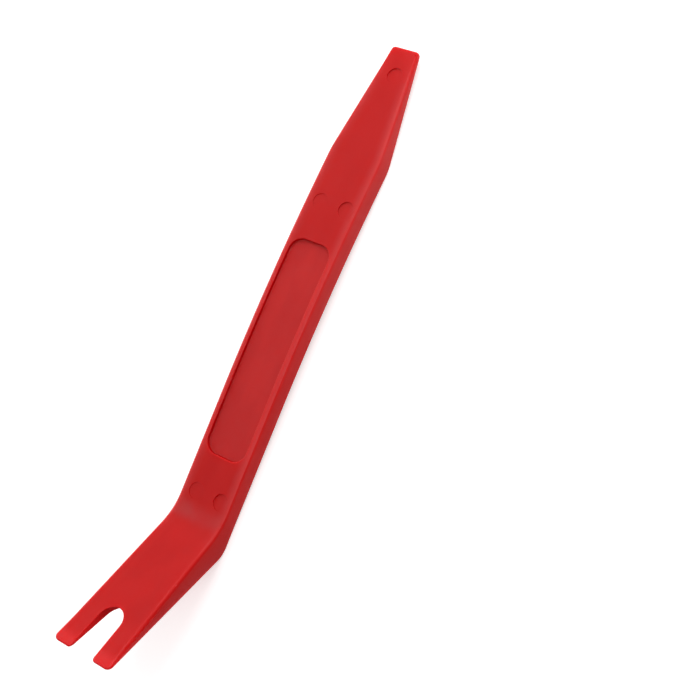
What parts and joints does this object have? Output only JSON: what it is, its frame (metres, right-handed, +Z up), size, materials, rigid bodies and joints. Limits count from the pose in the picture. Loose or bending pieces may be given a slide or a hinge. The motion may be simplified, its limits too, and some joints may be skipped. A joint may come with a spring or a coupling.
{
  "type": "trim removal tool",
  "caption": "One-piece moulded pry tool: gently arched flat handle with a recessed panel, a bent notched fork at one end and a tapered chisel blade at the other.",
  "frame": {"origin": "on the ground under the middle of the tool's box, as it lies at rest on its heel and the blade's shoulder", "axes": "+X along the handle towards the chisel blade, +Z up out of the recessed face, +Y across the width"},
  "size_m": [0.2012, 0.0218, 0.035],
  "materials": {
    "red_plastic": "satin moulded red plastic"
  },
  "bodies": {
    "root": {"trim_tool": "red_plastic"}
  },
  "joints": []
}
